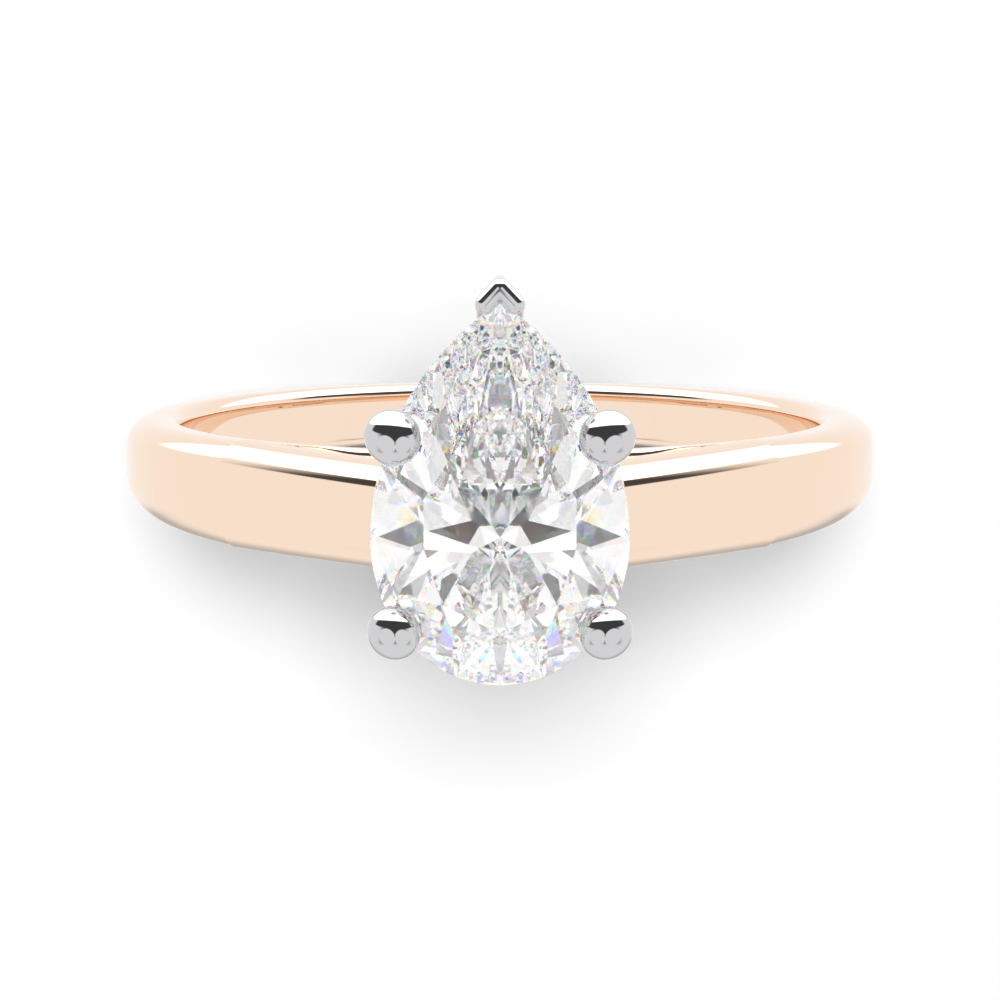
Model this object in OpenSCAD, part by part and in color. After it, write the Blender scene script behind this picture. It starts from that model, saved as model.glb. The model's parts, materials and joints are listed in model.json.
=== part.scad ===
// Solitaire engagement ring: a plain tapered band with raised shoulders, a tulip head and a pear stone.
// The finger hole runs along Y and its centre is the origin. The stone faces +Z and its point faces +Y.

/* [Finger size] */
// Inside diameter of the band, which sets the ring size
finger_d = 17.35; // [14:0.05:22]

/* [Band] */
// Thickness of the band below the shoulders
band_t = 1.5; // [1.2:0.05:1.9]
// Width of the band under the stone
band_w_top = 2.85; // [2.4:0.05:3.4]
// Width of the band at the palm
band_w_palm = 1.7; // [1.5:0.05:2.4]
// Thickness of the finger rail that passes under the head
rail_t = 0.65; // [0.5:0.05:0.9]
// Rounding of the outer edges, measured across the width
edge_across = 0.5; // [0.2:0.05:0.6]
// Rounding of the outer edges, measured through the thickness
edge_through = 0.9; // [0.4:0.05:1]

/* [Shoulders] */
// Height of a shoulder's outer face above the finger rail, where it meets the head
shoulder_rise = 1.8; // [1.3:0.05:2.2]
// Radius of a shoulder's outer face
shoulder_arc_r = 45; // [25:1:90]
// Thickness of a shoulder
shoulder_t = 1.1; // [0.9:0.05:1.4]
// Width of a shoulder at the head
shoulder_w_head = 2.5; // [2:0.05:2.7]

/* [Stone] */
// Length of the stone from its round end to its point
stone_l = 8.8; // [7:0.1:10.5]
// Width of the stone
stone_w = 5.9; // [5:0.1:7]
// Length of the round end, from the widest line to the end
stone_round_l = 3.36; // [2.8:0.02:4]
// Height of the crown, from the girdle to the table
crown_h = 0.9; // [0.7:0.05:1.1]
// Thickness of the girdle
girdle_t = 0.15; // [0.08:0.01:0.3]
// Depth of the pavilion, from the girdle to the culet
pavilion_h = 2.5; // [2:0.05:3]
// Size of the table as a share of the outline
table_share = 0.58; // [0.5:0.01:0.66]
// Distance from the band's middle to the stone's widest line, towards the round end
stone_shift = 0.22; // [0:0.02:0.6]
// Gap between the culet and the finger rail
culet_gap = 0.3; // [0.1:0.05:0.8]

/* [Head] */
// Distance along the finger from the band's middle to each pair of prongs
prong_y = 2.24; // [1.9:0.02:2.5]
// Diameter of a prong's shaft
prong_d = 1.05; // [0.9:0.01:1.08]
// Diameter of the bead at a prong's top
bead_d = 1.25; // [1.1:0.05:1.5]
// Height of a bead's centre above the girdle
bead_rise = 0.42; // [0.3:0.02:0.6]
// Size of the head's foot as a share of the stone's outline
foot_share = 0.66; // [0.6:0.01:0.8]
// Height of each head rail
wire_h = 0.6; // [0.45:0.05:0.75]
// Width of each head rail, measured inwards
wire_w = 0.55; // [0.55:0.01:0.65]
// Gap between the stone's girdle and the top of the gallery rail
gallery_drop = 1; // [0.9:0.05:1.2]
// Length of the point prong's cap along the finger
cap_l = 0.85; // [0.7:0.05:1.1]
// Width of the point prong's cap
cap_w = 1.2; // [1:0.05:1.5]
// Overhang of the point prong beyond the stone's point
cap_over = 0.58; // [0.4:0.02:0.8]
// Rounding of the point prong's corners
cap_r = 0.2; // [0.12:0.02:0.28]

/* [Hidden] */
$fn = 96;

finger_r = finger_d / 2;
band_r = finger_r + band_t;
rail_r = finger_r + rail_t;
// A size larger than the whole ring, for cuts that run right through
far = 3 * band_r;

// Band: half the width grows evenly from the palm to the stone
half_w_mid = (band_w_top + band_w_palm) / 4;
half_w_slope = (band_w_top - band_w_palm) / 4 / band_r;
band_tilt = atan(half_w_slope);

// Stone: heights and outline
culet_z = rail_r + culet_gap;
girdle_low_z = culet_z + pavilion_h;
girdle_top_z = girdle_low_z + girdle_t;
table_z = girdle_top_z + crown_h;
stone_half_w = stone_w / 2;
stone_point_l = stone_l - stone_round_l;
// The two long sides are arcs that leave the widest line square to it and meet at the point
side_r = (stone_half_w ^ 2 + stone_point_l ^ 2) / (2 * stone_half_w);
side_end = asin(stone_point_l / side_r);

// Head: the prongs converge on the stone's vertical axis as they go down
bead_z = girdle_top_z + bead_rise;
foot_z = rail_r;
function share_at(z) = foot_share + (1 - foot_share) * (z - foot_z) / (bead_z - foot_z);
back_reach = sqrt(side_r ^ 2 - (prong_y + stone_shift) ^ 2) - (side_r - stone_half_w);
front_reach = stone_half_w * sqrt(1 - ((prong_y - stone_shift) / stone_round_l) ^ 2);
prong_x = (back_reach + front_reach) / 2;
gallery_z = girdle_low_z - gallery_drop - wire_h;
base_z = foot_z - wire_h / 4;
head_half_w = stone_half_w * share_at(gallery_z + wire_h / 2);
cap_tip_y = stone_point_l + cap_over - cap_r;
cap_low_z = girdle_low_z - gallery_drop / 3;
cap_top_z = bead_z + cap_r;
point_shaft_d = cap_w - 2 * cap_r;

// Shoulder: its outer circle touches the band's outer circle and passes the meeting point on the head
meet_x = head_half_w;
meet_z = rail_r + shoulder_rise;
meet_r = norm([meet_x, meet_z]);
arc_offset = shoulder_arc_r - band_r;
splice_cos = (shoulder_arc_r ^ 2 - arc_offset ^ 2 - meet_r ^ 2) / (2 * arc_offset * meet_r);
splice_a = atan2(meet_x, meet_z) + acos(splice_cos);
splice_z = band_r * cos(splice_a);
splice_half_w = half_w_mid + half_w_slope * splice_z;
shoulder_tilt = atan((splice_half_w - shoulder_w_head / 2) / (meet_z - splice_z));

// Stone facets: directions of the main facets, anticlockwise from the right-hand side
MAINS = [-90, -45, 0, 33, 90, 147, 180, 225];
STAR_REACH = 0.5;
LOWER_REACH = 0.78;

// Furthest distance of the outline from the stone's axis, square to direction a
function reach(a) =
    let (s = sin(a), c = abs(cos(a)), turn = atan2(s, c))
    turn < 0 ? norm([stone_half_w * c, stone_round_l * s])
    : turn < side_end ? side_r - (side_r - stone_half_w) * c
    : stone_point_l * s;

// Point where the outline faces direction a, seen from the stone's axis
function edge_point(a) =
    let (s = sin(a), c = cos(a), turn = atan2(s, abs(c)), side = sign(c))
    turn < 0 ? [stone_half_w ^ 2 * c, stone_round_l ^ 2 * s] / reach(a)
    : turn < side_end ? [side_r * c - side * (side_r - stone_half_w), side_r * s]
    : [0, stone_point_l];

function lift(p, z) = [p[0], p[1], z];
function face_normal(p, q, r) = cross(q - p, r - p);
// The face's normal, turned to point away from the middle of the stone
function outward(n, p, middle) = n * (p - middle) < 0 ? -n : n;

// Where main facets a and b meet, with both at the same share of their reach
function ridge(a, b, level) =
    let (u = [cos(a), sin(a)], v = [cos(b), sin(b)], d = u[0] * v[1] - u[1] * v[0],
         p = reach(a) * level, q = reach(b) * level)
    [(p * v[1] - q * u[1]) / d, (u[0] * q - v[0] * p) / d];

function next(i) = (i + 1) % len(MAINS);

// The point has no side of its own: a main facet there is met by the ends of the two long sides
function side_limit(a, other) =
    a == 90 ? (other < 90 ? side_end : 180 - side_end) : a;
function gap_mid(a, b) =
    let (from = side_limit(a, b), to = side_limit(b, a))
    from + ((to - from + 360) % 360) / 2;

module half_space(p, n) {
    translate(p)
        rotate([0, acos(n[2] / norm(n)), atan2(n[1], n[0])])
            translate([-far, -far, -2 * far])
                cube([2 * far, 2 * far, 2 * far]);
}

// Keeps the side of a three-point plane that holds the middle of the stone
module facet(p, q, r) {
    middle = [0, 0, (girdle_low_z + girdle_top_z) / 2];
    half_space(p, outward(face_normal(p, q, r), p, middle));
}

module pear_outline() {
    intersection() {
        translate([stone_half_w - side_r, 0])
            circle(side_r);
        translate([side_r - stone_half_w, 0])
            circle(side_r);
        translate([-stone_w, 0])
            square([2 * stone_w, stone_l]);
    }
    intersection() {
        scale([stone_half_w, stone_round_l])
            circle(1);
        translate([-stone_w, -stone_l])
            square([2 * stone_w, stone_l]);
    }
}

module crown_facets() {
    count = len(MAINS);
    intersection_for (i = [0 : count - 1]) {
        a = MAINS[i];
        b = MAINS[next(i)];
        m = gap_mid(a, b);
        girdle_a = lift(edge_point(a), girdle_top_z);
        girdle_b = lift(edge_point(b), girdle_top_z);
        girdle_m = lift(edge_point(m), girdle_top_z);
        tilt_level = 1 - (1 - table_share) * STAR_REACH;
        star = lift(ridge(a, b, tilt_level), girdle_top_z + crown_h * STAR_REACH);
        table_a = lift(reach(a) * table_share * [cos(a), sin(a)], table_z);
        table_b = lift(reach(b) * table_share * [cos(b), sin(b)], table_z);
        along_a = [-sin(a), cos(a), 0];
        intersection() {
            facet(girdle_a, girdle_a + along_a, table_a);
            facet(star, table_a, table_b);
            facet(star, girdle_a, girdle_m);
            facet(star, girdle_b, girdle_m);
        }
    }
}

module pavilion_facets() {
    count = len(MAINS);
    culet = [0, 0, culet_z];
    intersection_for (i = [0 : count - 1]) {
        a = MAINS[i];
        b = MAINS[next(i)];
        m = gap_mid(a, b);
        girdle_a = lift(edge_point(a), girdle_low_z);
        girdle_b = lift(edge_point(b), girdle_low_z);
        girdle_m = lift(edge_point(m), girdle_low_z);
        low = lift(ridge(a, b, 1 - LOWER_REACH), girdle_low_z - pavilion_h * LOWER_REACH);
        along_a = [-sin(a), cos(a), 0];
        intersection() {
            facet(girdle_a, girdle_a + along_a, culet);
            facet(low, girdle_a, girdle_m);
            facet(low, girdle_b, girdle_m);
        }
    }
}

// Every face of the stone is flat, so the shape is the hull of its own corners
module stone_solid() {
    translate([0, -stone_shift, 0])
        hull()
            intersection() {
                translate([0, 0, culet_z])
                    linear_extrude(table_z - culet_z)
                        pear_outline();
                crown_facets();
                pavilion_facets();
            }
}

// A ring about the Y axis, open-ended towards -Y, with its +Y edge rounded on the outside
module half_band(outer_r, depth, half_w) {
    across = min(edge_across, half_w / 2);
    through = min(edge_through, depth * 0.8);
    rotate([-90, 0, 0])
        rotate_extrude() {
            translate([outer_r - depth, -far])
                square([depth, far + half_w - across]);
            translate([outer_r - depth, 0])
                square([depth - through, half_w]);
            translate([outer_r - through, half_w - across])
                scale([through, across])
                    circle(1);
        }
}

module both_edges() {
    intersection() {
        children();
        mirror([0, 1, 0])
            children();
    }
}

module finger_hole(r) {
    rotate([90, 0, 0])
        cylinder(r = r, h = 2 * far, center = true);
}

// The space over the finger rail, between the two splices
module shoulder_space() {
    intersection() {
        rotate([0, splice_a, 0])
            translate([-far, -far, 0])
                cube([far, 2 * far, far]);
        rotate([0, -splice_a, 0])
            translate([0, -far, 0])
                cube([far, 2 * far, far]);
    }
}

module finger_band() {
    color("#f2c9a8")
        difference() {
            both_edges()
                rotate([-band_tilt, 0, 0])
                    half_band(band_r, band_t + rail_t, half_w_mid * cos(band_tilt));
            finger_hole(finger_r);
            difference() {
                shoulder_space();
                finger_hole(rail_r);
            }
        }
}

module shoulder_arc() {
    both_edges()
        translate([0, 0, splice_z])
            rotate([shoulder_tilt, 0, 0])
                translate([-arc_offset * sin(splice_a), 0, -splice_z - arc_offset * cos(splice_a)])
                    half_band(shoulder_arc_r, shoulder_t, splice_half_w * cos(shoulder_tilt));
}

module head_outline(z) {
    translate([0, -stone_shift])
        scale(share_at(z))
            pear_outline();
}

module right_shoulder_solid() {
    difference() {
        intersection() {
            shoulder_arc();
            shoulder_space();
            translate([0, -far, 0])
                cube([far, 2 * far, far]);
        }
        finger_hole(rail_r);
        linear_extrude(far)
            head_outline(gallery_z + wire_h / 2);
        for (side_y = [-1, 1])
            leaning_shaft(prong_top(side_y), prong_d, bead_z);
    }
}

module right_shoulder() {
    color("#f2c9a8")
        right_shoulder_solid();
}

module left_shoulder() {
    color("#f2c9a8")
        mirror([1, 0, 0])
            right_shoulder_solid();
}

// A rail of the head: a flat wire bent to the stone's outline, cut to sit on the finger rail
module head_rail(z) {
    difference() {
        translate([0, 0, z])
            linear_extrude(wire_h)
                difference() {
                    head_outline(z + wire_h / 2);
                    translate([0, -stone_shift])
                        scale(share_at(z + wire_h / 2) - wire_w / stone_half_w)
                            pear_outline();
                }
        finger_hole(rail_r);
    }
}

module base_rail() {
    color("#dcdcde")
        head_rail(base_z);
}

module gallery_rail() {
    color("#dcdcde")
        head_rail(gallery_z);
}

// Place of a right-hand prong's bead, measured from the stone's axis
function prong_top(side_y) = [prong_x, side_y * prong_y + stone_shift];

// A round shaft that stands in the base rail and leans out from the stone's axis as it rises
module leaning_shaft(top, d, high_z) {
    low_z = base_z + wire_h / 2;
    start = lift(top * share_at(low_z), low_z);
    run = lift(top * share_at(high_z), high_z) - start;
    translate([0, -stone_shift, 0])
        translate(start)
            rotate([0, acos(run[2] / norm(run)), atan2(run[1], run[0])])
                cylinder(d = d, h = norm(run));
}

// Takes the places of the head rails and the stone out of a prong
module notched() {
    color("#dcdcde")
        difference() {
            children();
            head_rail(base_z);
            head_rail(gallery_z);
            stone_solid();
        }
}

module right_prong(side_y) {
    top = prong_top(side_y);
    notched() {
        leaning_shaft(top, prong_d, bead_z);
        translate(lift(top - [0, stone_shift], bead_z))
            sphere(d = bead_d);
    }
}

module front_left_prong() {
    mirror([1, 0, 0])
        right_prong(-1);
}

module front_right_prong() {
    right_prong(-1);
}

module back_left_prong() {
    mirror([1, 0, 0])
        right_prong(1);
}

module back_right_prong() {
    right_prong(1);
}

// A bar with round ends, between two points of a plane
module round_bar(p, q, r) {
    run = q - p;
    translate(p)
        rotate(atan2(run[1], run[0])) {
            translate([0, -r])
                square([norm(run), 2 * r]);
            circle(r);
        }
}

module cap_outline() {
    front_y = cap_tip_y - cap_l + 2 * cap_r;
    corners = [[0, cap_tip_y], [cap_r - cap_w / 2, front_y], [cap_w / 2 - cap_r, front_y]];
    polygon(corners);
    for (i = [0 : 2])
        round_bar(corners[i], corners[(i + 1) % 3], cap_r);
}

// A rounded arrowhead over the stone's point, carried by a shaft that leans like the others
module point_prong() {
    notched() {
        leaning_shaft([0, cap_tip_y - cap_r], point_shaft_d, cap_low_z + cap_r);
        translate([0, -stone_shift, cap_low_z])
            linear_extrude(cap_top_z - cap_low_z)
                cap_outline();
    }
}

module diamond() {
    color("#f4f6fa")
        stone_solid();
}

finger_band();
left_shoulder();
right_shoulder();
base_rail();
gallery_rail();
front_left_prong();
front_right_prong();
back_left_prong();
back_right_prong();
point_prong();
diamond();
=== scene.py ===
import json
import math

import bmesh
import bpy
from bpy.props import FloatProperty, FloatVectorProperty, PointerProperty
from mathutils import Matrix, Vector


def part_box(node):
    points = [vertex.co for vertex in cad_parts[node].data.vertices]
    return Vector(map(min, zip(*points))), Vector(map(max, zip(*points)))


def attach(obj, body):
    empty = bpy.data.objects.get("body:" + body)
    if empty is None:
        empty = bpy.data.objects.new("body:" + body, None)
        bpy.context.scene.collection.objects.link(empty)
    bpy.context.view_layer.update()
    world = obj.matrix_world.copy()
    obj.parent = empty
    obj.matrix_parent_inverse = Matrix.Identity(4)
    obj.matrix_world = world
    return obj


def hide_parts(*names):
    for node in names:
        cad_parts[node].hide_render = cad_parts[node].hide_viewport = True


bl_info = {
    "name": "Pear Solitaire Ring",
    "version": (1, 0, 0),
    "blender": (4, 5, 0),
    "location": "View3D > Sidebar > Ring",
    "description": "Models a pear-stone solitaire ring and its studio around the packed frame",
    "category": "Object",
}

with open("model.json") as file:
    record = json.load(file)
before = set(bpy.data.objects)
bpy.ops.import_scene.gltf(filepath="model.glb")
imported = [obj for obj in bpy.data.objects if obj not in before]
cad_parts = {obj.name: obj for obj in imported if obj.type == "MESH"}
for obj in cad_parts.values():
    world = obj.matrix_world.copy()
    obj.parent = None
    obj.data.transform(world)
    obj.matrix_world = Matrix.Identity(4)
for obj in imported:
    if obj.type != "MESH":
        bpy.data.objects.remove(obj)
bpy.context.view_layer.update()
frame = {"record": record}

MM = 0.001
TINY = 1e-7

# Sizes that the frame gives
BAND_LO, BAND_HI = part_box("finger_band")
STONE_LO, STONE_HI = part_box("diamond")
GALLERY_LO, GALLERY_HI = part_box("gallery_rail")
BASE_LO, BASE_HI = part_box("base_rail")
CAP_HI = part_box("point_prong")[1]
FINGER_R = frame["record"]["mounts"][0]["dims"]["r_mm"] * MM
BAND_R = BAND_HI.x - TINY
RAIL_R = BAND_HI.z


def length(name, about, size):
    """A size of the ring, given in millimetres."""
    return FloatProperty(name=name, description=about, default=size * MM, unit="LENGTH", precision=5)


def share(name, about, size, low, high):
    """A size of the ring as a share of another."""
    return FloatProperty(name=name, description=about, default=size, subtype="FACTOR", min=low, max=high)


def colour(name, about, default):
    return FloatVectorProperty(name=name, description=about, default=default, size=3, subtype="COLOR",
                               min=0, max=1)


class RingSizes(bpy.types.PropertyGroup):
    band_w_top: length("Band width, top", "Width of the band under the stone", 2.85)
    band_w_palm: length("Band width, palm", "Width of the band on the palm side", 1.7)
    edge_across: length("Edge, across", "Rounding of the outer edges across the width", 0.8)
    edge_through: length("Edge, through", "Rounding of the outer edges through the thickness", 0.9)
    comfort: length("Comfort rounding", "Rounding of the edges against the finger", 0.4)
    crown: length("Band crown", "Rise of the outer face at the middle of its width", 0.06)
    rail_edge: length("Rail edge", "Rounding of the finger rail's outer edges", 0.22)
    scarf: FloatProperty(name="Scarf", description="Angle by which the full band runs on under a shoulder",
                         default=math.radians(1.5), unit="ROTATION")
    shoulder_arc: length("Shoulder arc", "Radius of a shoulder's outer face", 45)
    shoulder_t: length("Shoulder thickness", "Thickness of a shoulder", 1.1)
    shoulder_w: length("Shoulder width", "Width of a shoulder at the head", 2.5)
    shoulder_rise: length("Shoulder rise", "Height of a shoulder over the finger rail, at the head", 1.8)
    round_l: length("Round end", "Length of the stone's round end from its widest line", 3.36)
    crown_h: length("Crown height", "Height of the stone's crown", 0.9)
    girdle_t: length("Girdle", "Thickness of the stone's girdle", 0.15)
    table_share: share("Table", "Size of the table as a share of the outline", 0.58, 0.3, 0.8)
    prong_y: length("Prong rows", "Distance of each pair of prongs from the band's middle", 2.24)
    prong_d: length("Prong shaft", "Diameter of a prong's shaft", 1.05)
    bead_d: length("Bead", "Diameter of a prong's bead", 1.25)
    bead_back: share("Back beads", "Length of a back bead as a share of its width", 1.07, 0.8, 1.2)
    bead_front: share("Front beads", "Length of a front bead as a share of its width", 0.96, 0.8, 1.2)
    dome: share("Bead dome", "Height of a bead's dome as a share of its radius", 0.85, 0.1, 1)
    bead_rise: length("Bead height", "Height of a bead's middle over the girdle", 0.42)
    foot_share: share("Foot of the head", "Size of the head's foot as a share of the outline", 0.66, 0.3, 1.0)
    wire_w: length("Rail width", "Width of the head's rails", 0.55)
    cap_bar: length("Point bar", "Thickness of the bar over the stone's point", 0.46)
    cap_reach: length("Point reach", "Half the width of the bar over the point", 0.56)
    cap_drop: length("Point drop", "Length of the bar over the point, from its tip to its ends", 0.82)
    facet_gap: length("Seat clearance", "Gap between the stone and its seats", 0.04)


class RingColours(bpy.types.PropertyGroup):
    rose_gold: colour("Rose gold", "Colour of the band and shoulders", (0.915, 0.72, 0.575))
    white_gold: colour("White gold", "Colour of the head", (0.62, 0.62, 0.63))
    floor: colour("Floor", "Colour of the floor", (0.9, 0.9, 0.9))


# ---------------------------------------------------------------- modelling helpers

def deselect():
    if bpy.context.object and bpy.context.object.mode != "OBJECT":
        bpy.ops.object.mode_set(mode="OBJECT")
    bpy.ops.object.select_all(action="DESELECT")


def edit():
    bpy.ops.object.mode_set(mode="EDIT")
    bpy.ops.mesh.select_mode(type="VERT")


def leave():
    bpy.ops.object.mode_set(mode="OBJECT")


def pick_verts(obj, test):
    """In edit mode, selects the vertices whose place passes a test."""
    bpy.ops.mesh.select_all(action="DESELECT")
    mesh = bmesh.from_edit_mesh(obj.data)
    for v in mesh.verts:
        v.select_set(bool(test(v.co)))
    mesh.select_flush(True)
    bmesh.update_edit_mesh(obj.data)


def pick_faces(obj, test):
    """In edit mode, selects the faces whose normal and centre pass a test."""
    bpy.ops.mesh.select_mode(type="FACE")
    bpy.ops.mesh.select_all(action="DESELECT")
    mesh = bmesh.from_edit_mesh(obj.data)
    mesh.normal_update()
    for f in mesh.faces:
        f.select_set(bool(test(f.normal, f.calc_center_median())))
    bmesh.update_edit_mesh(obj.data)


def close_mesh():
    bpy.ops.mesh.select_mode(type="VERT")
    bpy.ops.mesh.select_all(action="SELECT")
    bpy.ops.mesh.remove_doubles(threshold=TINY)
    bpy.ops.mesh.normals_make_consistent(inside=False)


def reshape(obj, rule):
    """Moves every vertex to where a rule of the piece puts it."""
    for v in obj.data.vertices:
        v.co = rule(v.co)
    obj.data.update()


def choose(obj):
    deselect()
    obj.select_set(True)
    bpy.context.view_layer.objects.active = obj


def apply_place(obj):
    choose(obj)
    bpy.ops.object.transform_apply(location=True, rotation=True, scale=True)


def modify(obj, kind, **settings):
    """Adds a modifier, sets it and applies it."""
    choose(obj)
    mod = obj.modifiers.new(kind.title(), kind)
    for key, value in settings.items():
        setattr(mod, key, value)
    bpy.ops.object.modifier_apply(modifier=mod.name)


def smooth(obj, angle):
    choose(obj)
    bpy.ops.object.shade_smooth_by_angle(angle=math.radians(angle))


def copy_of(obj, name):
    twin = obj.copy()
    twin.data = obj.data.copy()
    twin.name = name
    bpy.context.scene.collection.objects.link(twin)
    return twin


def finish_piece(obj, node, material):
    obj.data.materials.clear()
    obj.data.materials.append(material)
    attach(obj, "root")
    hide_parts(node)


# ---------------------------------------------------------------- geometry of the ring

class Plan:
    """The ring's derived sizes, as the design works them out."""

    def __init__(self, s):
        self.s = s
        self.half_w_mid = (s.band_w_top + s.band_w_palm) / 4
        self.half_w_slope = (s.band_w_top - s.band_w_palm) / 4 / BAND_R
        self.stone_half_w = STONE_HI.x
        self.round_l = s.round_l
        self.stone_y = STONE_LO.y + s.round_l
        self.point_l = STONE_HI.y - self.stone_y
        self.side_r = (self.stone_half_w ** 2 + self.point_l ** 2) / (2 * self.stone_half_w)
        self.side_end = math.asin(self.point_l / self.side_r)
        self.girdle_top = STONE_HI.z - s.crown_h
        self.girdle_low = self.girdle_top - s.girdle_t
        self.bead_z = self.girdle_top + s.bead_rise
        self.prong_x = (self.edge_x(s.prong_y - self.stone_y) + self.edge_x(-s.prong_y - self.stone_y)) / 2
        meet = Vector((self.stone_half_w * self.share_at((GALLERY_LO.z + GALLERY_HI.z) / 2),
                       RAIL_R + s.shoulder_rise))
        offset = s.shoulder_arc - BAND_R
        turn = (s.shoulder_arc ** 2 - offset ** 2 - meet.length_squared) / (2 * offset * meet.length)
        self.splice = math.atan2(meet.x, meet.y) + math.acos(turn)
        self.meet = meet
        self.arc_centre = Vector((-offset * math.sin(self.splice), 0, -offset * math.cos(self.splice)))
        self.splice_z = BAND_R * math.cos(self.splice)
        self.splice_half_w = self.band_half_w(self.splice_z)

    def band_half_w(self, z):
        return self.half_w_mid + self.half_w_slope * z

    def share_at(self, z):
        """Size of the head at a height, as a share of the stone's outline."""
        foot = self.s.foot_share
        return foot + (1 - foot) * (z - RAIL_R) / (self.bead_z - RAIL_R)

    def edge_x(self, y):
        """Half the stone's width at a distance from its widest line."""
        if y > 0:
            return math.sqrt(self.side_r ** 2 - y ** 2) - (self.side_r - self.stone_half_w)
        return self.stone_half_w * math.sqrt(max(0.0, 1 - (y / self.round_l) ** 2))

    def outline(self, turn):
        """Point of the stone's outline, from the stone's axis, for a turn of 0 to 360 degrees in radians."""
        c, s = math.cos(turn), math.sin(turn)
        if s <= 0:
            return Vector((self.stone_half_w * c, self.round_l * s, 0))
        lean = turn if turn <= math.pi / 2 else math.pi - turn
        a = lean / (math.pi / 2) * self.side_end
        x = self.side_r * math.cos(a) - (self.side_r - self.stone_half_w)
        return Vector((math.copysign(x, c), self.side_r * math.sin(a), 0))

    # The stone's facets
    def reach(self, a):
        c, s = abs(math.cos(a)), math.sin(a)
        turn = math.atan2(s, c)
        if turn < 0:
            return math.hypot(self.stone_half_w * c, self.round_l * s)
        if turn < self.side_end:
            return self.side_r - (self.side_r - self.stone_half_w) * c
        return self.point_l * s

    def edge_point(self, a, z):
        c, s = math.cos(a), math.sin(a)
        turn = math.atan2(s, abs(c))
        if turn < 0:
            r = self.reach(a)
            return Vector((self.stone_half_w ** 2 * c / r, self.round_l ** 2 * s / r, z))
        if turn < self.side_end:
            side = math.copysign(1, c)
            return Vector((self.side_r * c - side * (self.side_r - self.stone_half_w), self.side_r * s, z))
        return Vector((0, self.point_l, z))

    def ridge(self, a, b, level, z):
        """Where main facets a and b meet, with both at the same share of their reach."""
        u, v = (math.cos(a), math.sin(a)), (math.cos(b), math.sin(b))
        d = u[0] * v[1] - u[1] * v[0]
        p, q = self.reach(a) * level, self.reach(b) * level
        return Vector(((p * v[1] - q * u[1]) / d, (u[0] * q - v[0] * p) / d, z))

    def side_limit(self, a, other):
        if abs(a - math.pi / 2) > 1e-6:
            return a
        return self.side_end if other < math.pi / 2 else math.pi - self.side_end

    def gap_mid(self, a, b):
        start, end = self.side_limit(a, b), self.side_limit(b, a)
        return start + ((end - start) % (2 * math.pi)) / 2


# Angle from the stone at which the finger rail starts, and the angle over which its edges grow
RAIL_APEX = math.radians(28.5)
RAIL_FADE = math.radians(6)
# Rounding of a shoulder's inner edges, and the angle by which its end runs into the head
SHOULDER_INNER = 0.3 * MM
SHOULDER_OVERRUN = math.radians(0.8)
# Rounding of the head rails' edges
WIRE_EDGE = 0.16 * MM
# Heights of the two steps under a bead, and its size after each
BEAD_LIP, LIP_SIZE = 0.14 * MM, 0.985
BEAD_NECK, NECK_SIZE = 0.12 * MM, 0.94
# Depth of the point bar below the girdle
CAP_LOW = 0.3 * MM
# Fullness of the outer edges' rounding: 0.5 is a plain quarter ellipse
EDGE_PROFILE = 0.58


def draw_section(name, outer, depth, half_w, across, through, inner):
    """Draws a bar's section on the XY plane: square to the finger inside, softly rounded outside."""
    squeeze = across / through
    origin = (0, 0, 0)
    deselect()
    bpy.ops.mesh.primitive_plane_add(size=1)
    obj = bpy.context.object
    obj.name = name
    edit()
    bpy.ops.transform.resize(value=(depth * squeeze, 2 * half_w, 1), center_override=origin)
    bpy.ops.transform.translate(value=((outer - depth / 2) * squeeze, 0, 0))
    middle = (outer - depth / 2) * squeeze
    pick_verts(obj, lambda co: co.x > middle)
    bpy.ops.mesh.bevel(offset=across, segments=24, profile=EDGE_PROFILE, affect="VERTICES",
                       clamp_overlap=False)
    bpy.ops.mesh.select_all(action="SELECT")
    bpy.ops.transform.resize(value=(1 / squeeze, 1, 1), center_override=origin)
    pick_verts(obj, lambda co: co.x < outer - depth + TINY)
    bpy.ops.mesh.bevel(offset=inner, segments=8, affect="VERTICES", clamp_overlap=False)
    pick_verts(obj, lambda co: co.x > outer - TINY)
    bpy.ops.mesh.subdivide(number_cuts=11)
    pick_verts(obj, lambda co: co.x < outer - depth + TINY)
    bpy.ops.mesh.subdivide(number_cuts=5)
    bpy.ops.mesh.select_all(action="SELECT")
    bpy.ops.mesh.delete(type="ONLY_FACE")
    bpy.ops.mesh.select_all(action="SELECT")
    return obj


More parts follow.
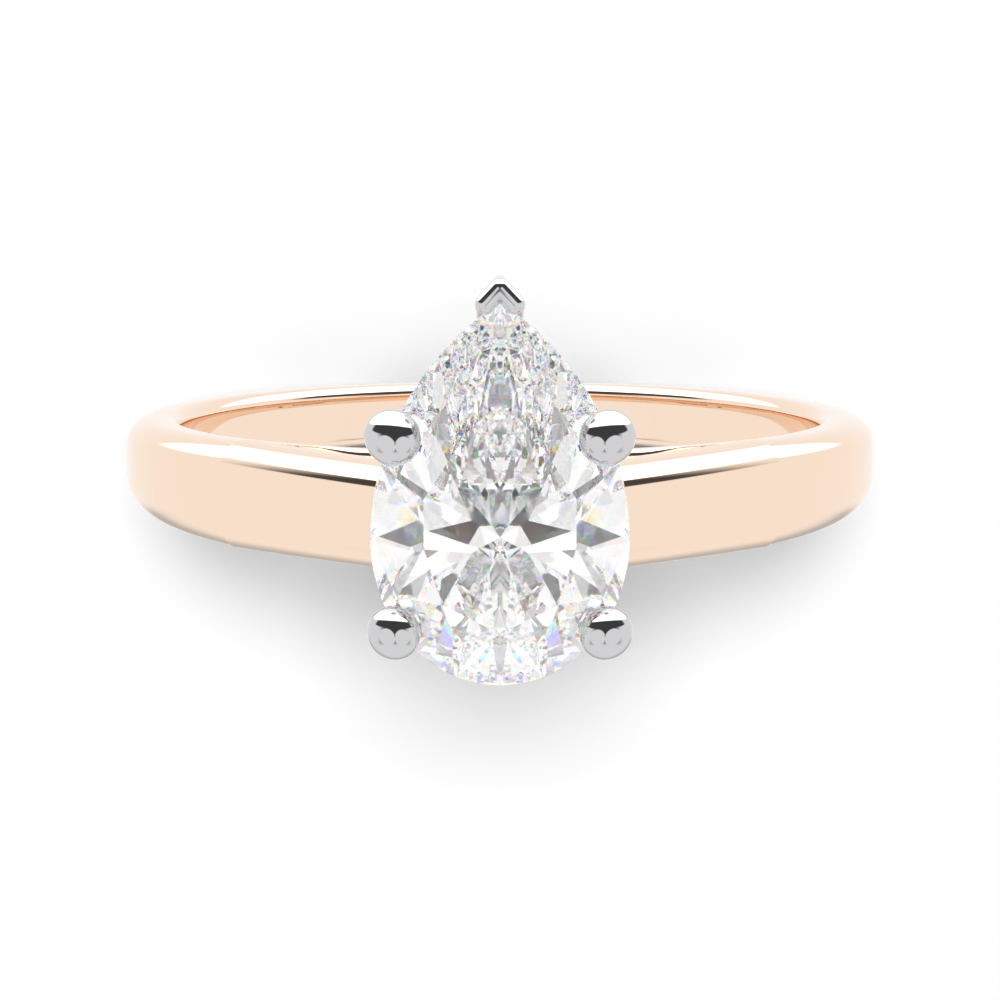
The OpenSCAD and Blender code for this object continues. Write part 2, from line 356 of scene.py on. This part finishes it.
class RING_OT_band(bpy.types.Operator):
    """Spins the finger band, tapers it and files the rail under the head"""
    bl_idname = "ring.band"
    bl_label = "Band"

    def execute(self, context):
        s = context.scene.ring_sizes
        plan = Plan(s)
        depth = BAND_R - FINGER_R
        half_w = plan.half_w_mid
        obj = draw_section("band", BAND_R, depth, half_w, s.edge_across, s.edge_through, s.comfort)
        bpy.ops.mesh.spin(steps=360, angle=2 * math.pi, center=(0, 0, 0), axis=(0, 1, 0))
        close_mesh()
        under = plan.splice - s.scarf
        for side in (-1, 1):
            bpy.ops.mesh.select_all(action="SELECT")
            bpy.ops.mesh.bisect(plane_co=(0, 0, 0), plane_no=(math.cos(under), 0, side * math.sin(under)))
        leave()

        def rule(co):
            r, turn = math.hypot(co.x, co.z), abs(math.atan2(co.x, co.z))
            y, side = abs(co.y), math.copysign(1, co.y)
            if turn < under - 1e-5:
                # The rail has thinner edges, which grow from nothing where the shoulders leave it
                free = min(1.0, max(0.0, (RAIL_APEX - turn) / RAIL_FADE))
                edge = s.rail_edge * (0.02 + 0.98 * free)
                drop = (BAND_R - r) / s.edge_through
                if drop < 1:
                    r = RAIL_R - edge * drop
                    soft = half_w - s.edge_across
                    if y > soft:
                        y = half_w - (half_w - y) * edge / s.edge_across
                    else:
                        y *= (half_w - edge) / soft
                elif r > RAIL_R - edge:
                    r = RAIL_R - edge
                out = 0
            else:
                out = s.crown * (y / half_w) ** 2 * min(1.0, max(0.0, (r - FINGER_R) / depth))
            z = r * math.cos(turn)
            y *= plan.band_half_w(z) / half_w
            r -= out
            return Vector((math.copysign(r * math.sin(turn), co.x), side * y, r * math.cos(turn)))

        reshape(obj, rule)
        smooth(obj, 35)
        finish_piece(obj, "finger_band", rose_gold(context))
        return {"FINISHED"}


class RING_OT_shoulders(bpy.types.Operator):
    """Sweeps one shoulder from the band to the head and mirrors it"""
    bl_idname = "ring.shoulders"
    bl_label = "Shoulders"

    def execute(self, context):
        s = context.scene.ring_sizes
        plan = Plan(s)
        half_w = plan.splice_half_w
        obj = draw_section("shoulder_right", BAND_R, s.shoulder_t, half_w, s.edge_across,
                           s.edge_through, SHOULDER_INNER)
        leave()
        obj.rotation_euler = (0, plan.splice - math.pi / 2, 0)
        apply_place(obj)
        edit()
        bpy.ops.mesh.select_all(action="SELECT")
        sweep = plan.splice - math.atan2(plan.meet.x - plan.arc_centre.x, plan.meet.y - plan.arc_centre.z)
        sweep += SHOULDER_OVERRUN
        bpy.ops.mesh.spin(steps=72, angle=sweep, center=plan.arc_centre, axis=(0, 1, 0))
        bpy.ops.mesh.select_all(action="SELECT")
        bpy.ops.mesh.remove_doubles(threshold=TINY)
        bpy.ops.mesh.fill_holes(sides=0)
        close_mesh()
        leave()
        narrow = (plan.splice_half_w - s.shoulder_w / 2) / (plan.meet.y - plan.splice_z)
        head = plan.share_at((GALLERY_LO.z + GALLERY_HI.z) / 2)

        def rule(co):
            x, y, z = co
            level = min(1.0, max(0.0, (math.hypot(x - plan.arc_centre.x, z - plan.arc_centre.z)
                                       - s.shoulder_arc + s.shoulder_t) / s.shoulder_t))
            drop = s.crown * (y / half_w) ** 2 * level
            z -= drop * 0.7
            x -= drop * 0.7
            y *= (plan.splice_half_w - narrow * (z - plan.splice_z)) / half_w
            r = math.hypot(x, z)
            if r < RAIL_R:
                x, z = x * RAIL_R / r, z * RAIL_R / r
            edge = plan.edge_x((y - plan.stone_y) / head) * head
            return Vector((max(x, edge), y, z))

        reshape(obj, rule)
        smooth(obj, 35)
        gold = rose_gold(context)
        twin = copy_of(obj, "shoulder_left")
        reshape(twin, lambda co: Vector((-co.x, co.y, co.z)))
        twin.data.flip_normals()
        finish_piece(obj, "right_shoulder", gold)
        finish_piece(twin, "left_shoulder", gold)
        return {"FINISHED"}


class RING_OT_head_rails(bpy.types.Operator):
    """Bends the head's two rails to the stone's outline"""
    bl_idname = "ring.head_rails"
    bl_label = "Head rails"

    def execute(self, context):
        s = context.scene.ring_sizes
        plan = Plan(s)
        gold = white_gold(context)
        for name, node, low, high in (("rail_base", "base_rail", BASE_LO.z, BASE_HI.z),
                                      ("rail_gallery", "gallery_rail", GALLERY_LO.z, GALLERY_HI.z)):
            share = plan.share_at((low + high) / 2)
            deselect()
            bpy.ops.mesh.primitive_circle_add(vertices=240, radius=1)
            obj = context.object
            obj.name = name

            def rule(co):
                p = plan.outline(math.atan2(co.y, co.x) % (2 * math.pi)) * share
                return Vector((p.x, p.y + plan.stone_y, low))

            reshape(obj, rule)
            edit()
            bpy.ops.mesh.select_all(action="SELECT")
            bpy.ops.mesh.extrude_region_move(TRANSFORM_OT_translate={"value": (0, 0, high - low)})
            bpy.ops.mesh.select_all(action="SELECT")
            bpy.ops.mesh.normals_make_consistent(inside=False)
            leave()
            modify(obj, "SOLIDIFY", thickness=s.wire_w, offset=-1, use_even_offset=True)
            modify(obj, "BEVEL", width=WIRE_EDGE, segments=6, limit_method="ANGLE",
                   angle_limit=math.radians(40))

            def seat(co):
                r = math.hypot(co.x, co.z)
                if r < RAIL_R:
                    return Vector((co.x * RAIL_R / r, co.y, co.z * RAIL_R / r))
                return co

            reshape(obj, seat)
            edit()
            close_mesh()
            leave()
            smooth(obj, 50)
            finish_piece(obj, node, gold)
        return {"FINISHED"}


def cut_stone(context, plan, grow, name, fine):
    """Cuts a pear brilliant, larger by grow on every side, with small facets at the point if it is fine."""
    s = plan.s
    deselect()
    bpy.ops.mesh.primitive_circle_add(vertices=160, radius=1, fill_type="NGON")
    obj = context.object
    obj.name = name
    bottom, top = STONE_LO.z, STONE_HI.z + grow

    def rule(co):
        p = plan.outline(math.atan2(co.y, co.x) % (2 * math.pi))
        return Vector((p.x, p.y, bottom)) + p.normalized() * grow

    reshape(obj, rule)
    edit()
    bpy.ops.mesh.select_all(action="SELECT")
    bpy.ops.mesh.extrude_region_move(TRANSFORM_OT_translate={"value": (0, 0, top - bottom)})
    bpy.ops.mesh.select_all(action="SELECT")
    bpy.ops.mesh.normals_make_consistent(inside=False)
    middle = Vector((0, 0, (plan.girdle_low + plan.girdle_top) / 2))

    def facet(p, q, r):
        normal = (q - p).cross(r - p).normalized()
        if normal.dot(p - middle) < 0:
            normal = -normal
        bpy.ops.mesh.select_all(action="SELECT")
        bpy.ops.mesh.bisect(plane_co=p + normal * grow, plane_no=normal, use_fill=True, clear_outer=True,
                            threshold=TINY)

    mains = [math.radians(a) for a in MAIN_FACETS]
    culet = Vector((0, 0, STONE_LO.z))
    depth = plan.girdle_low - STONE_LO.z

    for i, a in enumerate(mains):
        b = mains[(i + 1) % len(mains)]
        m = plan.gap_mid(a, b)
        along = Vector((-math.sin(a), math.cos(a), 0))
        level = 1 - (1 - s.table_share) * STAR_REACH
        top_a, top_b, top_m = (plan.edge_point(t, plan.girdle_top) for t in (a, b, m))
        low_a, low_b, low_m = (plan.edge_point(t, plan.girdle_low) for t in (a, b, m))
        star = plan.ridge(a, b, level, plan.girdle_top + s.crown_h * STAR_REACH)
        table_a, table_b = (Vector((math.cos(t), math.sin(t), 0)) * plan.reach(t) * s.table_share
                            + Vector((0, 0, STONE_HI.z)) for t in (a, b))
        low = plan.ridge(a, b, 1 - LOWER_REACH, plan.girdle_low - depth * LOWER_REACH)
        plain = math.sin(m) < TIP_SINE or not fine
        if math.sin(a) < 0.99 or not fine:
            facet(top_a, top_a + along, table_a)
            facet(low_a, low_a + along, culet)
        if plain:
            for corners in ((star, table_a, table_b), (star, top_a, top_m), (star, top_b, top_m),
                            (low, low_a, low_m), (low, low_b, low_m)):
                facet(*corners)
    # Towards the point the stone is cut in many small steps, above and below the girdle
    table = s.table_share
    lower = (*LOWER_STEPS, 0.0, 1.0, plan.girdle_low, -depth)
    upper = (*UPPER_STEPS, table, 1 - table, plan.girdle_top, s.crown_h)
    for rows, steps, span, bulge, start, run, rim, height in (lower, upper) if fine else ():
        for row, share in enumerate(rows):
            for step in range(steps + row % 2):
                turn = math.pi / 2 + (step - (steps - 1 + row % 2) / 2) * math.radians(span) / steps
                out = Vector((math.cos(turn), math.sin(turn), 0))
                r = plan.reach(turn)
                level = rim + height * (1 - share ** bulge)
                touch = out * (r * (start + run * share)) + Vector((0, 0, level))
                slope = height * bulge * share ** (bulge - 1) / (r * run)
                facet(touch, touch + Vector((-out.y, out.x, 0)), touch + Vector((-out.x, -out.y, slope)) * MM)
    leave()
    reshape(obj, lambda co: Vector((co.x, co.y + plan.stone_y, co.z)))
    return obj


# Directions of the main facets, in degrees anticlockwise from the right-hand side
MAIN_FACETS = (-90, -45, 0, 33, 90, 147, 180, 225)
STAR_REACH = 0.5
LOWER_REACH = 0.78
# Small facets towards the stone's point: where each row touches, as a share of the way out
TIP_SINE = 0.5
LOW_ROWS = (1.0, 0.9, 0.78, 0.66, 0.55, 0.44, 0.34, 0.24)
TOP_ROWS = (1.0, 0.72, 0.46, 0.2)
# The rows, with the steps in each, the angle they span in degrees, and how far they bulge
LOWER_STEPS = (LOW_ROWS, 11, 126, 1.12)
UPPER_STEPS = (TOP_ROWS, 9, 112, 1.2)


class RING_OT_prongs(bpy.types.Operator):
    """Models a round prong with its bead, and sets four of them around the stone"""
    bl_idname = "ring.prongs"
    bl_label = "Prongs"

    def execute(self, context):
        s = context.scene.ring_sizes
        plan = Plan(s)
        gold = white_gold(context)
        seat = cut_stone(context, plan, s.facet_gap, "seat_cutter", False)
        low_z = (BASE_LO.z + BASE_HI.z) / 2
        for side_x, side_y, name in ((-1, -1, "front_left"), (1, -1, "front_right"),
                                     (-1, 1, "back_left"), (1, 1, "back_right")):
            top = Vector((side_x * plan.prong_x, side_y * s.prong_y - plan.stone_y, 0))
            start = top * plan.share_at(low_z) + Vector((0, plan.stone_y, low_z))
            end = top + Vector((0, plan.stone_y, plan.bead_z))
            run = end - start
            deselect()
            bpy.ops.mesh.primitive_uv_sphere_add(segments=64, ring_count=40, radius=s.bead_d / 2)
            obj = context.object
            obj.name = "prong_" + name
            along = s.bead_back if side_y > 0 else s.bead_front
            reshape(obj, lambda co: Vector((co.x, co.y * along, co.z * s.dome if co.z > 0 else co.z)))
            edit()
            pick_verts(obj, lambda co: co.z < -TINY)
            bpy.ops.mesh.delete(type="VERT")
            pick_verts(obj, lambda co: co.z < TINY)
            neck = s.prong_d / s.bead_d
            wall = s.bead_d / 2 * (1 - s.dome)
            for drop, size in ((wall * 1.1, LIP_SIZE), (BEAD_LIP, NECK_SIZE),
                               (BEAD_NECK, neck / LIP_SIZE / NECK_SIZE),
                               (run.length - BEAD_LIP - BEAD_NECK, 1.0)):
                bpy.ops.mesh.extrude_region_move(TRANSFORM_OT_translate={"value": (0, 0, -drop)})
                bpy.ops.transform.resize(value=(size, size, 1), center_override=(0, 0, 0))
            bpy.ops.mesh.edge_face_add()
            bpy.ops.mesh.select_all(action="SELECT")
            bpy.ops.transform.translate(value=(0, 0, wall))
            close_mesh()
            leave()
            lean = Vector((run.x, run.y, 0)) / run.z
            obj.location = end - lean * wall
            obj.rotation_mode = "QUATERNION"
            obj.rotation_quaternion = run.to_track_quat("Z", "Y")
            apply_place(obj)
            # A leaning dome stands a hair higher than an upright one, so it is let down to the right height
            over = max(0.0, max(v.co.z for v in obj.data.vertices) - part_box(name + "_prong")[1].z)
            reshape(obj, lambda co: Vector((co.x, co.y, co.z - over)))
            modify(obj, "BOOLEAN", operation="DIFFERENCE", solver="EXACT", object=seat)
            edit()
            close_mesh()
            leave()
            smooth(obj, 30)
            finish_piece(obj, name + "_prong", gold)
        bpy.data.objects.remove(seat)
        return {"FINISHED"}


class RING_OT_point_prong(bpy.types.Operator):
    """Models the arrowhead over the stone's point and the shaft under it"""
    bl_idname = "ring.point_prong"
    bl_label = "Point prong"

    def execute(self, context):
        s = context.scene.ring_sizes
        plan = Plan(s)
        bar = s.cap_bar / 2
        low, high = plan.girdle_low - CAP_LOW, CAP_HI.z
        apex = Vector((0, CAP_HI.y - bar))
        end = Vector((s.cap_reach - bar, CAP_HI.y - s.cap_drop + bar))
        leg = end - apex
        out = Vector((-leg.y, leg.x)).normalized()
        steps = 16
        lean = math.atan2(out.y, out.x)
        edge = [apex + Vector((math.cos(a), math.sin(a))) * bar
                for a in (math.pi / 2 - (math.pi / 2 - lean) * i / steps for i in range(1, steps + 1))]
        edge += [end + Vector((math.cos(a), math.sin(a))) * bar
                 for a in (lean - math.pi * i / (2 * steps) for i in range(2 * steps + 1))]
        outline = [apex + Vector((0, bar))] + edge
        notch = apex - Vector((0, bar / math.cos(lean - math.pi / 2)))
        outline += [notch] + [Vector((-p.x, p.y)) for p in reversed(edge)]
        deselect()
        bpy.ops.mesh.primitive_circle_add(vertices=len(outline), radius=1, fill_type="NGON")
        obj = context.object
        obj.name = "prong_point"
        for v, p in zip(obj.data.vertices, outline):
            v.co = (p.x, p.y, low)
        edit()
        bpy.ops.mesh.select_all(action="SELECT")
        bpy.ops.mesh.extrude_region_move(TRANSFORM_OT_translate={"value": (0, 0, high - low)})
        close_mesh()
        pick_faces(obj, lambda n, c: n.z > 0.99)
        bpy.ops.mesh.bevel(offset=bar * 0.92, segments=10, affect="EDGES", clamp_overlap=False)
        pick_faces(obj, lambda n, c: n.z < -0.99 and c.z < low + TINY)
        foot_z = (BASE_LO.z + BASE_HI.z) / 2
        share = plan.share_at(foot_z) / plan.share_at(low)
        lean_y = (apex.y - plan.stone_y) * (share - 1)
        bpy.ops.mesh.extrude_region_move(TRANSFORM_OT_translate={"value": (0, lean_y, foot_z - low)})
        close_mesh()
        leave()
        seat = cut_stone(context, plan, s.facet_gap, "seat_cutter", False)
        modify(obj, "BOOLEAN", operation="DIFFERENCE", solver="EXACT", object=seat)
        bpy.data.objects.remove(seat)
        edit()
        close_mesh()
        leave()
        smooth(obj, 30)
        finish_piece(obj, "point_prong", white_gold(context))
        return {"FINISHED"}


class RING_OT_stone(bpy.types.Operator):
    """Cuts the pear brilliant facet by facet"""
    bl_idname = "ring.stone"
    bl_label = "Stone"

    def execute(self, context):
        plan = Plan(context.scene.ring_sizes)
        obj = cut_stone(context, plan, 0.0, "stone", True)
        finish_piece(obj, "diamond", diamond(context))
        return {"FINISHED"}


# ---------------------------------------------------------------- finishes

class Value:
    """A shader value: Python's operators on it add Math nodes."""

    def __init__(self, shop, socket):
        self.shop, self.socket = shop, socket

    def _math(self, kind, a, b):
        return self.shop.add("ShaderNodeMath", {"operation": kind}, {0: a, 1: b})

    def __add__(self, other):
        return self._math("ADD", self, other)

    __radd__ = __add__

    def __sub__(self, other):
        return self._math("SUBTRACT", self, other)

    def __rsub__(self, other):
        return self._math("SUBTRACT", other, self)

    def __mul__(self, other):
        return self._math("MULTIPLY", self, other)

    __rmul__ = __mul__


class Shop:
    """Node maker for one material."""

    def __init__(self, name):
        self.material = bpy.data.materials.new(name)
        self.material.use_nodes = True
        self.tree = self.material.node_tree
        self.tree.nodes.clear()

    def node(self, kind, settings=None, values=None):
        made = self.tree.nodes.new(kind)
        for key, value in (settings or {}).items():
            setattr(made, key, value)
        for key, value in (values or {}).items():
            socket = made.inputs[key]
            if isinstance(value, Value):
                self.tree.links.new(value.socket, socket)
            elif isinstance(value, bpy.types.NodeSocket):
                self.tree.links.new(value, socket)
            else:
                socket.default_value = value
        return made

    def add(self, kind, settings=None, values=None, out=0):
        return Value(self, self.node(kind, settings, values).outputs[out])

    def place(self):
        return self.add("ShaderNodeTexCoord", out="Object")

    def ramp(self, value, low, high, start, end):
        """Runs softly from start to end while a value runs from low to high."""
        return self.add("ShaderNodeMapRange", {"interpolation_type": "SMOOTHSTEP"},
                        {"Value": value, "From Min": low, "From Max": high, "To Min": start, "To Max": end})

    def end(self, shader):
        self.node("ShaderNodeOutputMaterial", values={"Surface": shader.outputs[0]})
        return self.material


# Closeness of the metals' wheel marks and of the stone's polishing lines, along each axis
WHEEL_MARKS = (900, 14000, 900)
POLISH_LINES = (2200, 9000, 2200)
# How much diamond bends red, green and blue light
BENDS = (((1, 0, 0, 1), 2.410), ((0, 1, 0, 1), 2.418), ((0, 0, 1, 1), 2.430))
MEAN_BEND = 2.418


def polished_metal(name, tint, deep):
    """A mirror-polished gold: faint cloudy tone and roughness, and fine wheel marks."""
    shop = Shop(name)
    place = shop.place()
    cloud = shop.add("ShaderNodeTexNoise", {"noise_dimensions": "3D"},
                     {"Vector": place, "Scale": 260.0, "Detail": 3.0, "Roughness": 0.5})
    marks = shop.add("ShaderNodeTexNoise", {"noise_dimensions": "3D"},
                     {"Vector": shop.add("ShaderNodeMapping", values={"Vector": place, "Scale": WHEEL_MARKS}),
                      "Scale": 1.0, "Detail": 4.0, "Roughness": 0.6})
    tone = shop.add("ShaderNodeMix", {"data_type": "RGBA", "blend_type": "MIX"},
                    {"Factor": cloud * 0.5, "A": (*tint, 1), "B": (*deep, 1)}, out=2)
    bump = shop.node("ShaderNodeBump", values={"Strength": 0.012, "Distance": 0.00001, "Height": marks})
    shader = shop.node("ShaderNodeBsdfPrincipled", values={
        "Base Color": tone, "Metallic": 1.0, "Roughness": marks * 0.015 + cloud * 0.01 + 0.005,
        "Normal": bump.outputs[0]})
    return shop.end(shader)


def named(name, make):
    found = bpy.data.materials.get(name)
    return found or make(name)


def rose_gold(context):
    c = context.scene.ring_colours.rose_gold
    deep = (c[0] * 0.985, c[1] * 0.97, c[2] * 0.95)
    return named("rose_gold_polish", lambda n: polished_metal(n, tuple(c), deep))


def white_gold(context):
    c = context.scene.ring_colours.white_gold
    deep = (c[0] * 0.97, c[1] * 0.97, c[2] * 0.98)
    return named("white_gold_polish", lambda n: polished_metal(n, tuple(c), deep))


def diamond(context):
    """Colourless diamond: light that enters is bent by its colour, which makes the fire."""
    shop = Shop("diamond_polish")
    lines = shop.add("ShaderNodeTexNoise", {"noise_dimensions": "3D"},
                     {"Vector": shop.add("ShaderNodeMapping", values={"Vector": shop.place(),
                                                                      "Scale": POLISH_LINES}),
                      "Scale": 1.0, "Detail": 2.0, "Roughness": 0.5})
    polish = shop.node("ShaderNodeBump", values={"Strength": 0.004, "Distance": 0.00001, "Height": lines})
    parts = []
    for tint, bend in BENDS:
        parts.append(shop.node("ShaderNodeBsdfGlass", values={"Color": tint, "Roughness": 0.0, "IOR": bend,
                                                              "Normal": polish.outputs[0]}))
    first = shop.node("ShaderNodeAddShader", values={0: parts[0].outputs[0], 1: parts[1].outputs[0]})
    outside = shop.node("ShaderNodeAddShader", values={0: first.outputs[0], 1: parts[2].outputs[0]})
    inside = shop.node("ShaderNodeBsdfGlass", values={"Color": (1, 1, 1, 1), "Roughness": 0.0,
                                                      "IOR": MEAN_BEND, "Normal": polish.outputs[0]})
    facing = shop.add("ShaderNodeNewGeometry", out="Backfacing")
    return shop.end(shop.node("ShaderNodeMixShader", values={0: facing, 1: outside.outputs[0],
                                                             2: inside.outputs[0]}))


# ---------------------------------------------------------------- studio

def glow(name, shade):
    """A light's face, whose brightness a rule works out from the direction to each of its points."""
    shop = Shop(name)
    away = shop.add("ShaderNodeVectorMath", {"operation": "NORMALIZE"}, {0: shop.place()}, out="Vector")
    parts = shop.node("ShaderNodeSeparateXYZ", values={"Vector": away})
    x, y, z = (Value(shop, parts.outputs[i]) for i in range(3))
    level = shade(shop, x, y, z)
    return shop.end(shop.node("ShaderNodeEmission", values={"Color": level, "Strength": 1.0}))


def metal_room(shop, x, y, z):
    """Round the metal: two round lamps overhead, a dark gap behind them and a bright wall beyond."""
    across = shop.add("ShaderNodeMath", {"operation": "ABSOLUTE"}, {0: x})
    wall = shop.ramp(y - z * 0.39, 0.53, 0.60, 0.0, 1.0)
    wall = wall * shop.ramp(z, -0.70, -0.60, 0.0, 1.0)
    gap = shop.ramp(y, 0.27, 0.33, 0.0, 1.0) * shop.ramp(z, -0.10, 0.12, 0.0, 1.0)
    lamp = shop.ramp(across * 0.5 - y * 0.26 + z * 0.83, 0.84, 0.875, 0.0, 1.0)
    round_lamps = (1.0 - lamp) * shop.ramp(across, 0.62, 0.90, 1.0, 0.0)
    round_lamps = round_lamps * shop.ramp(y, -0.72, -0.50, 0.0, 1.0)
    round_lamps = round_lamps * shop.ramp(z, 0.0, 0.3, 0.0, 1.0)
    dark = shop.add("ShaderNodeMath", {"operation": "MAXIMUM"}, {0: gap, 1: round_lamps}) * (1.0 - wall)
    # Painted reflection of the floor's shadow near the ring, which the band's lower edge mirrors
    low = shop.ramp(y, -0.40, -0.25, 1.0, 0.0) * shop.ramp(z, -0.85, -0.25, -0.5, 0.0)
    low = low * shop.ramp(across, 0.45, 0.85, 1.0, 0.12) * (1.0 - wall)
    # The dark patch overhead, which the stone's flat table mirrors
    over = spot(shop, across, y, z, (0, -0.146, 0.989), 0.9972, -0.85) * (1.0 - dark)
    return wall * 1.6 - dark * 0.96 + low + over + 1.03


def spot(shop, x, y, z, centre, cosine, depth):
    """A dark panel in one direction."""
    size = math.sqrt(sum(c * c for c in centre))
    near = x * (centre[0] / size) + y * (centre[1] / size) + z * (centre[2] / size)
    return shop.ramp(near, cosine, cosine + 0.004, 0.0, depth)


def stone_room(shop, x, y, z):
    """Round the stone: pale on all sides, with brighter lamps, grey panels and two dark hoods overhead."""
    across = shop.add("ShaderNodeMath", {"operation": "ABSOLUTE"}, {0: x})
    hoods = spot(shop, across, y, z, (0.17, -0.146, 0.975), 0.990, -1.2)
    sides = spot(shop, across, y, z, (0.80, 0.10, 0.59), 0.985, -1.0)
    away = shop.add("ShaderNodeCombineXYZ", values={"X": across, "Y": y, "Z": z})
    patch = shop.add("ShaderNodeTexNoise", values={"Vector": away, "Scale": 5.0, "Detail": 1.0})
    lamps = shop.ramp(patch, 0.55, 0.58, 0.0, 0.45)
    panels = shop.ramp(patch, 0.36, 0.38, -0.45, 0.0)
    small = shop.add("ShaderNodeTexNoise", values={"Vector": away, "Scale": 14.0, "Detail": 0.0})
    specks = shop.ramp(small, 0.34, 0.36, -0.65, 0.0)
    level = panels + lamps + specks + hoods + sides + 0.98
    return shop.add("ShaderNodeMath", {"operation": "MAXIMUM"}, {0: level, 1: 0.07})


def unseen(obj, metal, stone):
    """Keeps a card out of the picture: only the metal or the stone mirrors it."""
    obj.visible_camera = False
    obj.visible_shadow = False
    obj.visible_diffuse = False
    obj.visible_glossy = metal
    obj.visible_transmission = stone


# Radii of the rooms that the metal and the stone mirror
METAL_ROOM_R, STONE_ROOM_R = 0.5, 0.6
KEY_SIZE, KEY_POWER, KEY_PLACE = 0.12, 1.22, (0, 0.085, 0.36)
WORLD_STRENGTH = 0.35
# Camera: lens in millimetres, lean from upright, further tilt of its aim, and distance
LENS, SENSOR = 91.65, 36
LEAN, AIM = math.radians(8.37), math.radians(1.051)
DISTANCE = 0.07


class RING_OT_stage(bpy.types.Operator):
    """Lays the floor and sets up the soft studio lights, the dark flags and the camera"""
    bl_idname = "ring.stage"
    bl_label = "Stage"

    def execute(self, context):
        colours = context.scene.ring_colours
        deselect()
        bpy.ops.mesh.primitive_plane_add(size=6, location=(0, 0, BAND_LO.z))
        floor = context.object
        floor.name = "floor"
        shop = Shop("floor")
        cloud = shop.add("ShaderNodeTexNoise", values={"Vector": shop.place(), "Scale": 40.0, "Detail": 2.0})
        tone = shop.add("ShaderNodeMix", {"data_type": "RGBA"},
                        {"Factor": cloud * 0.1, "A": (*colours.floor, 1), "B": (0.95, 0.95, 0.95, 1)}, out=2)
        shader = shop.node("ShaderNodeBsdfPrincipled", values={"Base Color": tone, "Roughness": 0.9,
                                                               "Specular IOR Level": 0.2})
        floor.data.materials.append(shop.end(shader))
        floor.visible_glossy = False

        for name, radius, shade, metal in (("room_metal", METAL_ROOM_R, metal_room, True),
                                           ("room_stone", STONE_ROOM_R, stone_room, False)):
            deselect()
            bpy.ops.mesh.primitive_uv_sphere_add(segments=64, ring_count=32, radius=radius)
            room = context.object
            room.name = name
            room.data.materials.append(glow(name, shade))
            unseen(room, metal, not metal)

        world = bpy.data.worlds.new("studio")
        context.scene.world = world
        world.use_nodes = True
        sky = world.node_tree.nodes["Background"]
        sky.inputs["Color"].default_value = (1, 1, 1, 1)
        sky.inputs["Strength"].default_value = WORLD_STRENGTH

        light = bpy.data.lights.new("key", "AREA")
        light.shape = "DISK"
        light.size = KEY_SIZE
        light.energy = KEY_POWER
        key = bpy.data.objects.new("key", light)
        key.location = KEY_PLACE
        key.rotation_mode = "QUATERNION"
        key.rotation_quaternion = Vector(key.location).to_track_quat("Z", "Y")
        key.visible_glossy = False
        key.visible_transmission = False
        context.scene.collection.objects.link(key)

        lens = bpy.data.cameras.new("camera")
        lens.lens = LENS
        lens.sensor_width = SENSOR
        lens.clip_start = 0.001
        lens.clip_end = 20
        camera = bpy.data.objects.new("camera", lens)
        camera.location = (0, DISTANCE * math.sin(LEAN), DISTANCE * math.cos(LEAN))
        camera.rotation_euler = (-LEAN - AIM, 0, 0)
        context.scene.collection.objects.link(camera)
        context.scene.camera = camera
        scene = context.scene
        scene.view_settings.view_transform = "Standard"
        scene.view_settings.look = "None"
        scene.cycles.caustics_reflective = False
        scene.cycles.caustics_refractive = False
        scene.cycles.max_bounces = 64
        scene.cycles.transmission_bounces = 32
        scene.cycles.glossy_bounces = 48
        scene.cycles.transparent_max_bounces = 16
        return {"FINISHED"}


class RING_PT_panel(bpy.types.Panel):
    """Lists the ring's pieces, sizes and colours"""
    bl_label = "Ring"
    bl_idname = "RING_PT_panel"
    bl_space_type = "VIEW_3D"
    bl_region_type = "UI"
    bl_category = "Ring"

    def draw(self, context):
        for cls in OPERATORS:
            self.layout.operator(cls.bl_idname)
        for group in (context.scene.ring_sizes, context.scene.ring_colours):
            for key in group.__annotations__:
                self.layout.prop(group, key)


OPERATORS = (RING_OT_band, RING_OT_shoulders, RING_OT_head_rails, RING_OT_prongs, RING_OT_point_prong,
             RING_OT_stone, RING_OT_stage)
CLASSES = (RingSizes, RingColours) + OPERATORS + (RING_PT_panel,)


def register():
    for cls in CLASSES:
        bpy.utils.register_class(cls)
    bpy.types.Scene.ring_sizes = PointerProperty(type=RingSizes)
    bpy.types.Scene.ring_colours = PointerProperty(type=RingColours)


def unregister():
    del bpy.types.Scene.ring_colours
    del bpy.types.Scene.ring_sizes
    for cls in reversed(CLASSES):
        bpy.utils.unregister_class(cls)


def main():
    register()
    bpy.ops.ring.band()
    bpy.ops.ring.shoulders()
    bpy.ops.ring.head_rails()
    bpy.ops.ring.prongs()
    bpy.ops.ring.point_prong()
    bpy.ops.ring.stone()
    bpy.ops.ring.stage()
    deselect()


if __name__ == "__main__":
    main()
